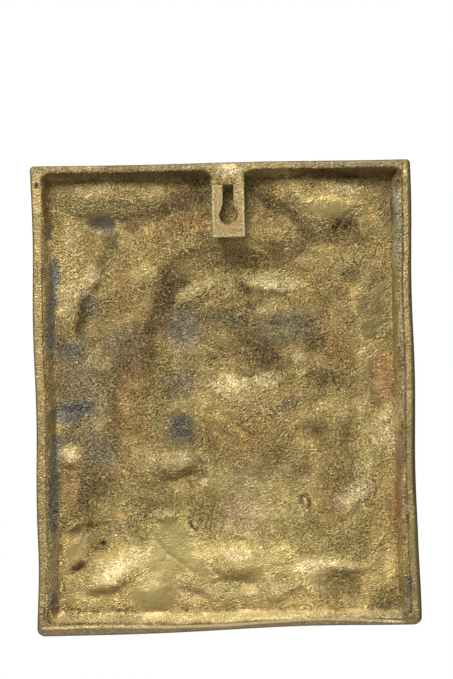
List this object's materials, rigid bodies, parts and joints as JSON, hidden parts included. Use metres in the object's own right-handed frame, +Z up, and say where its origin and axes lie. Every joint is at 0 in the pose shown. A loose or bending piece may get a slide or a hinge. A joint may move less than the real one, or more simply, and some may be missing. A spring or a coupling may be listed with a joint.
{
  "type": "cast brass wall plaque",
  "caption": "Rectangular cast brass wall plaque with a hollow rimmed back, a keyhole hanger and a wreathed oval boss on its front.",
  "frame": {"origin": "on the wall side of the hanger strap, in the metal midway between the keyhole's round end and the strap's lower end", "axes": "+Z up the plaque, +Y out of its back towards the wall, so the front faces -Y; +X is to the right seen from the front"},
  "size_m": [0.2002, 0.0204, 0.2448],
  "materials": {
    "cast_brass": "uncleaned casting, speckled olive and gold patina with blue-grey and brown stains",
    "strap_brass": "filed flat, dull pinkish tan with small pores"
  },
  "bodies": {
    "root": {"plaque_casting": "cast_brass", "keyhole_hanger": "strap_brass"}
  },
  "joints": []
}
